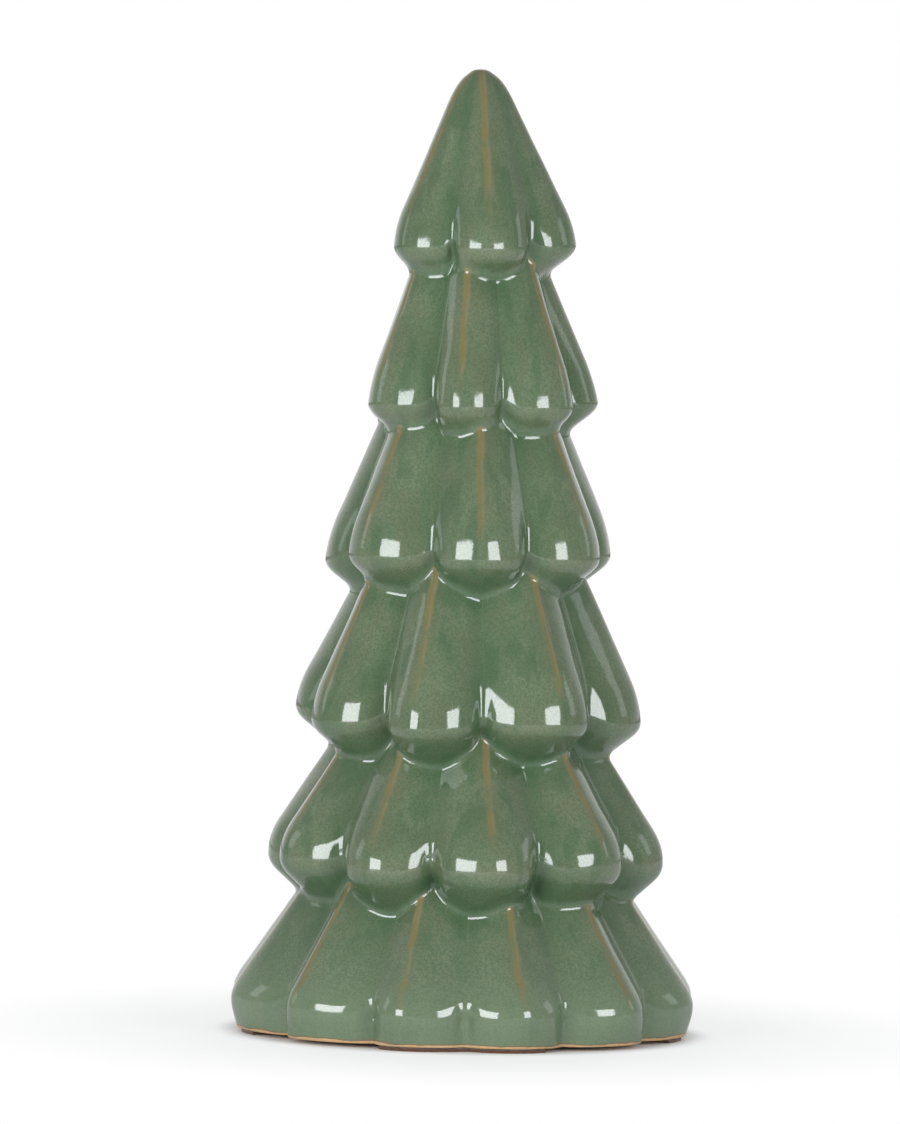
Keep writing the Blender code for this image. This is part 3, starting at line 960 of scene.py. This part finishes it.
felt = make_felt()
for name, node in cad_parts.items():
    if name.startswith("felt_pad"):
        for slot in node.material_slots:
            slot.material = felt
        print(name, "is felt")

# %% [markdown]
# ## Floor and surroundings
#
# The photo has a white sweep with no visible edge. The floor is a large pale disc. Under the tree
# the camera sees its own colour under the lamps, so that it keeps the tree's shadow. Further out more
# and more plain white is mixed in. The world gives a soft light that is stronger from above. In
# reflections it is dim on the camera's side, brighter at the sides and white behind the tree, as a
# studio is, so the glaze looks dark from the front and has bright edges.

# %% Make the floor
FLOOR_RADIUS = 6.0
FLOOR_SIDES = 96
PAPER = (0.93, 0.93, 0.93, 1.0)
UNDER_FOOT = (0.056, 0.066)   # the floor keeps its own colour up to here from the middle
SHADOW_SHARE = 0.68       # how much plain white the camera sees mixed into the shadow outside
SHADOW_FAR = 0.15         # the floor is plain white to the camera from here on


def make_paper():
    material, tree = new_material("white_paper")
    tree.nodes.clear()
    paper = add_node(tree, "ShaderNodeBsdfDiffuse")
    paper.inputs["Color"].default_value = PAPER
    white = add_node(tree, "ShaderNodeEmission")
    white.inputs["Strength"].default_value = 1.0
    spot = object_place(tree)
    length = add_node(tree, "ShaderNodeVectorMath", operation="LENGTH")
    away = spot.leave(length, (spot,), output=1)
    rays = add_node(tree, "ShaderNodeLightPath")
    white_share = ramp(away, *UNDER_FOOT, 0.0, SHADOW_SHARE)
    white_share = white_share + ramp(away, UNDER_FOOT[1], SHADOW_FAR, 0.0, 1.0 - SHADOW_SHARE)
    seen = Wire(tree, rays.outputs["Is Camera Ray"]) * white_share
    mix = add_node(tree, "ShaderNodeMixShader")
    plug(tree, seen, mix.inputs[0])
    tree.links.new(paper.outputs[0], mix.inputs[1])
    tree.links.new(white.outputs[0], mix.inputs[2])
    output = add_node(tree, "ShaderNodeOutputMaterial")
    tree.links.new(mix.outputs[0], output.inputs["Surface"])
    return material


def make_floor():
    angles = np.linspace(0, 2 * math.pi, FLOOR_SIDES, endpoint=False)
    rim = [(FLOOR_RADIUS * math.cos(a), FLOOR_RADIUS * math.sin(a), 0.0) for a in angles]
    mesh = bpy.data.meshes.new("paper_floor")
    mesh.from_pydata(rim, [], [list(range(FLOOR_SIDES))])
    mesh.materials.append(make_paper())
    return add_object("paper_floor", mesh)


floor = make_floor()
print("floor:", FLOOR_SIDES, "sides,", 2 * FLOOR_RADIUS, "m across")

# %% Make the world
WHITE = (1.0, 1.0, 1.0, 1.0)
AMBIENT = (0.08, 0.33)    # light on the object from below and from above
SEEN_WHITE = 1.0
FRONT_GLOSS = 0.19        # how bright the camera's side of the studio is in reflections
SIDE_GLOSS = 0.38
BACK_GLOSS = 1.0          # the white sweep, which glazed edges mirror at a grazing angle
FRONT_TO_SIDE = (-0.7, 0.2)     # how far a direction points back, where front gloss turns to side
SIDE_TO_BACK = (0.45, 0.95)


def make_world():
    world = bpy.data.worlds.new("white_studio")
    bpy.context.scene.world = world
    world.use_nodes = True
    tree = world.node_tree
    sky = tree.nodes["Background"]
    direction = Wire(tree, add_node(tree, "ShaderNodeTexCoord").outputs["Generated"])
    split = add_node(tree, "ShaderNodeSeparateXYZ")
    towards_back = direction.leave(split, (direction,), output=1)
    upwards = Wire(tree, split.outputs[2])
    rays = add_node(tree, "ShaderNodeLightPath")
    seen = Wire(tree, rays.outputs["Is Camera Ray"])
    mirrored = highest(Wire(tree, rays.outputs["Is Glossy Ray"]),
                       Wire(tree, rays.outputs["Is Transmission Ray"]))
    gloss = ramp(towards_back, *FRONT_TO_SIDE, FRONT_GLOSS, SIDE_GLOSS)
    gloss = gloss + ramp(towards_back, *SIDE_TO_BACK, 0.0, BACK_GLOSS - SIDE_GLOSS)
    level = mix_values(mirrored, ramp(upwards, -1.0, 1.0, *AMBIENT), gloss)
    level = mix_values(seen, level, SEEN_WHITE)
    plug(tree, level, sky.inputs["Strength"])
    sky.inputs["Color"].default_value = WHITE
    return world


print("nodes in the world:", len(make_world().node_tree.nodes))

# %% [markdown]
# ## Softboxes
#
# The bright patches just above every hip are the mirror images of softboxes, so their places can be
# worked out: a patch on a face that points half way between camera and lamp shows that lamp. Two
# weak strips at the sides put a soft shine on the walls of the valleys. The photo shows nothing of
# the back, so one broad lamp fills it, at a level at which the glaze has about its own colour there.
# Another broad lamp softens the front. Both are left out of the reflections.

# %% Hang the softboxes
AIM = Vector((0.0, 0.0, 0.12))
LAMP_DISTANCE = 1.3
DAYLIGHT = (0.94, 0.97, 1.0)
# name, direction in degrees (0 front, 90 right), degrees up, width and height in metres, and watts
SOFTBOXES = [
    ("softbox_left", -38, 7, 0.76, 0.48, 12.0),
    ("softbox_right", 42, 8, 0.52, 0.48, 7.7),
    ("strip_left", -100, 16, 0.30, 0.50, 0.5),
    ("strip_right", 100, 16, 0.30, 0.50, 0.5),
    ("front_fill", 0, 8, 1.20, 0.60, 3.0),
    ("back_fill", 180, 28, 1.20, 0.90, 10.0),
]
MATT_ONLY = ("front_fill", "back_fill")   # these light the tree without a mirror image in the glaze


def hang_lamp(name, side, lift, width, tall, watts):
    data = bpy.data.lights.new(name, "AREA")
    data.shape = "RECTANGLE"
    data.size = width
    data.size_y = tall
    data.energy = watts
    data.color = DAYLIGHT
    lamp = add_object(name, data)
    side, lift = math.radians(side), math.radians(lift)
    flat = math.cos(lift) * LAMP_DISTANCE
    lamp.location = AIM + Vector((flat * math.sin(side), -flat * math.cos(side),
                                  LAMP_DISTANCE * math.sin(lift)))
    lamp.rotation_euler = (AIM - lamp.location).to_track_quat("-Z", "Y").to_euler()
    lamp.visible_camera = False
    lamp.visible_glossy = name not in MATT_ONLY
    return lamp


for box in SOFTBOXES:
    lamp = hang_lamp(*box)
    print(lamp.name, [round(value, 2) for value in lamp.location])
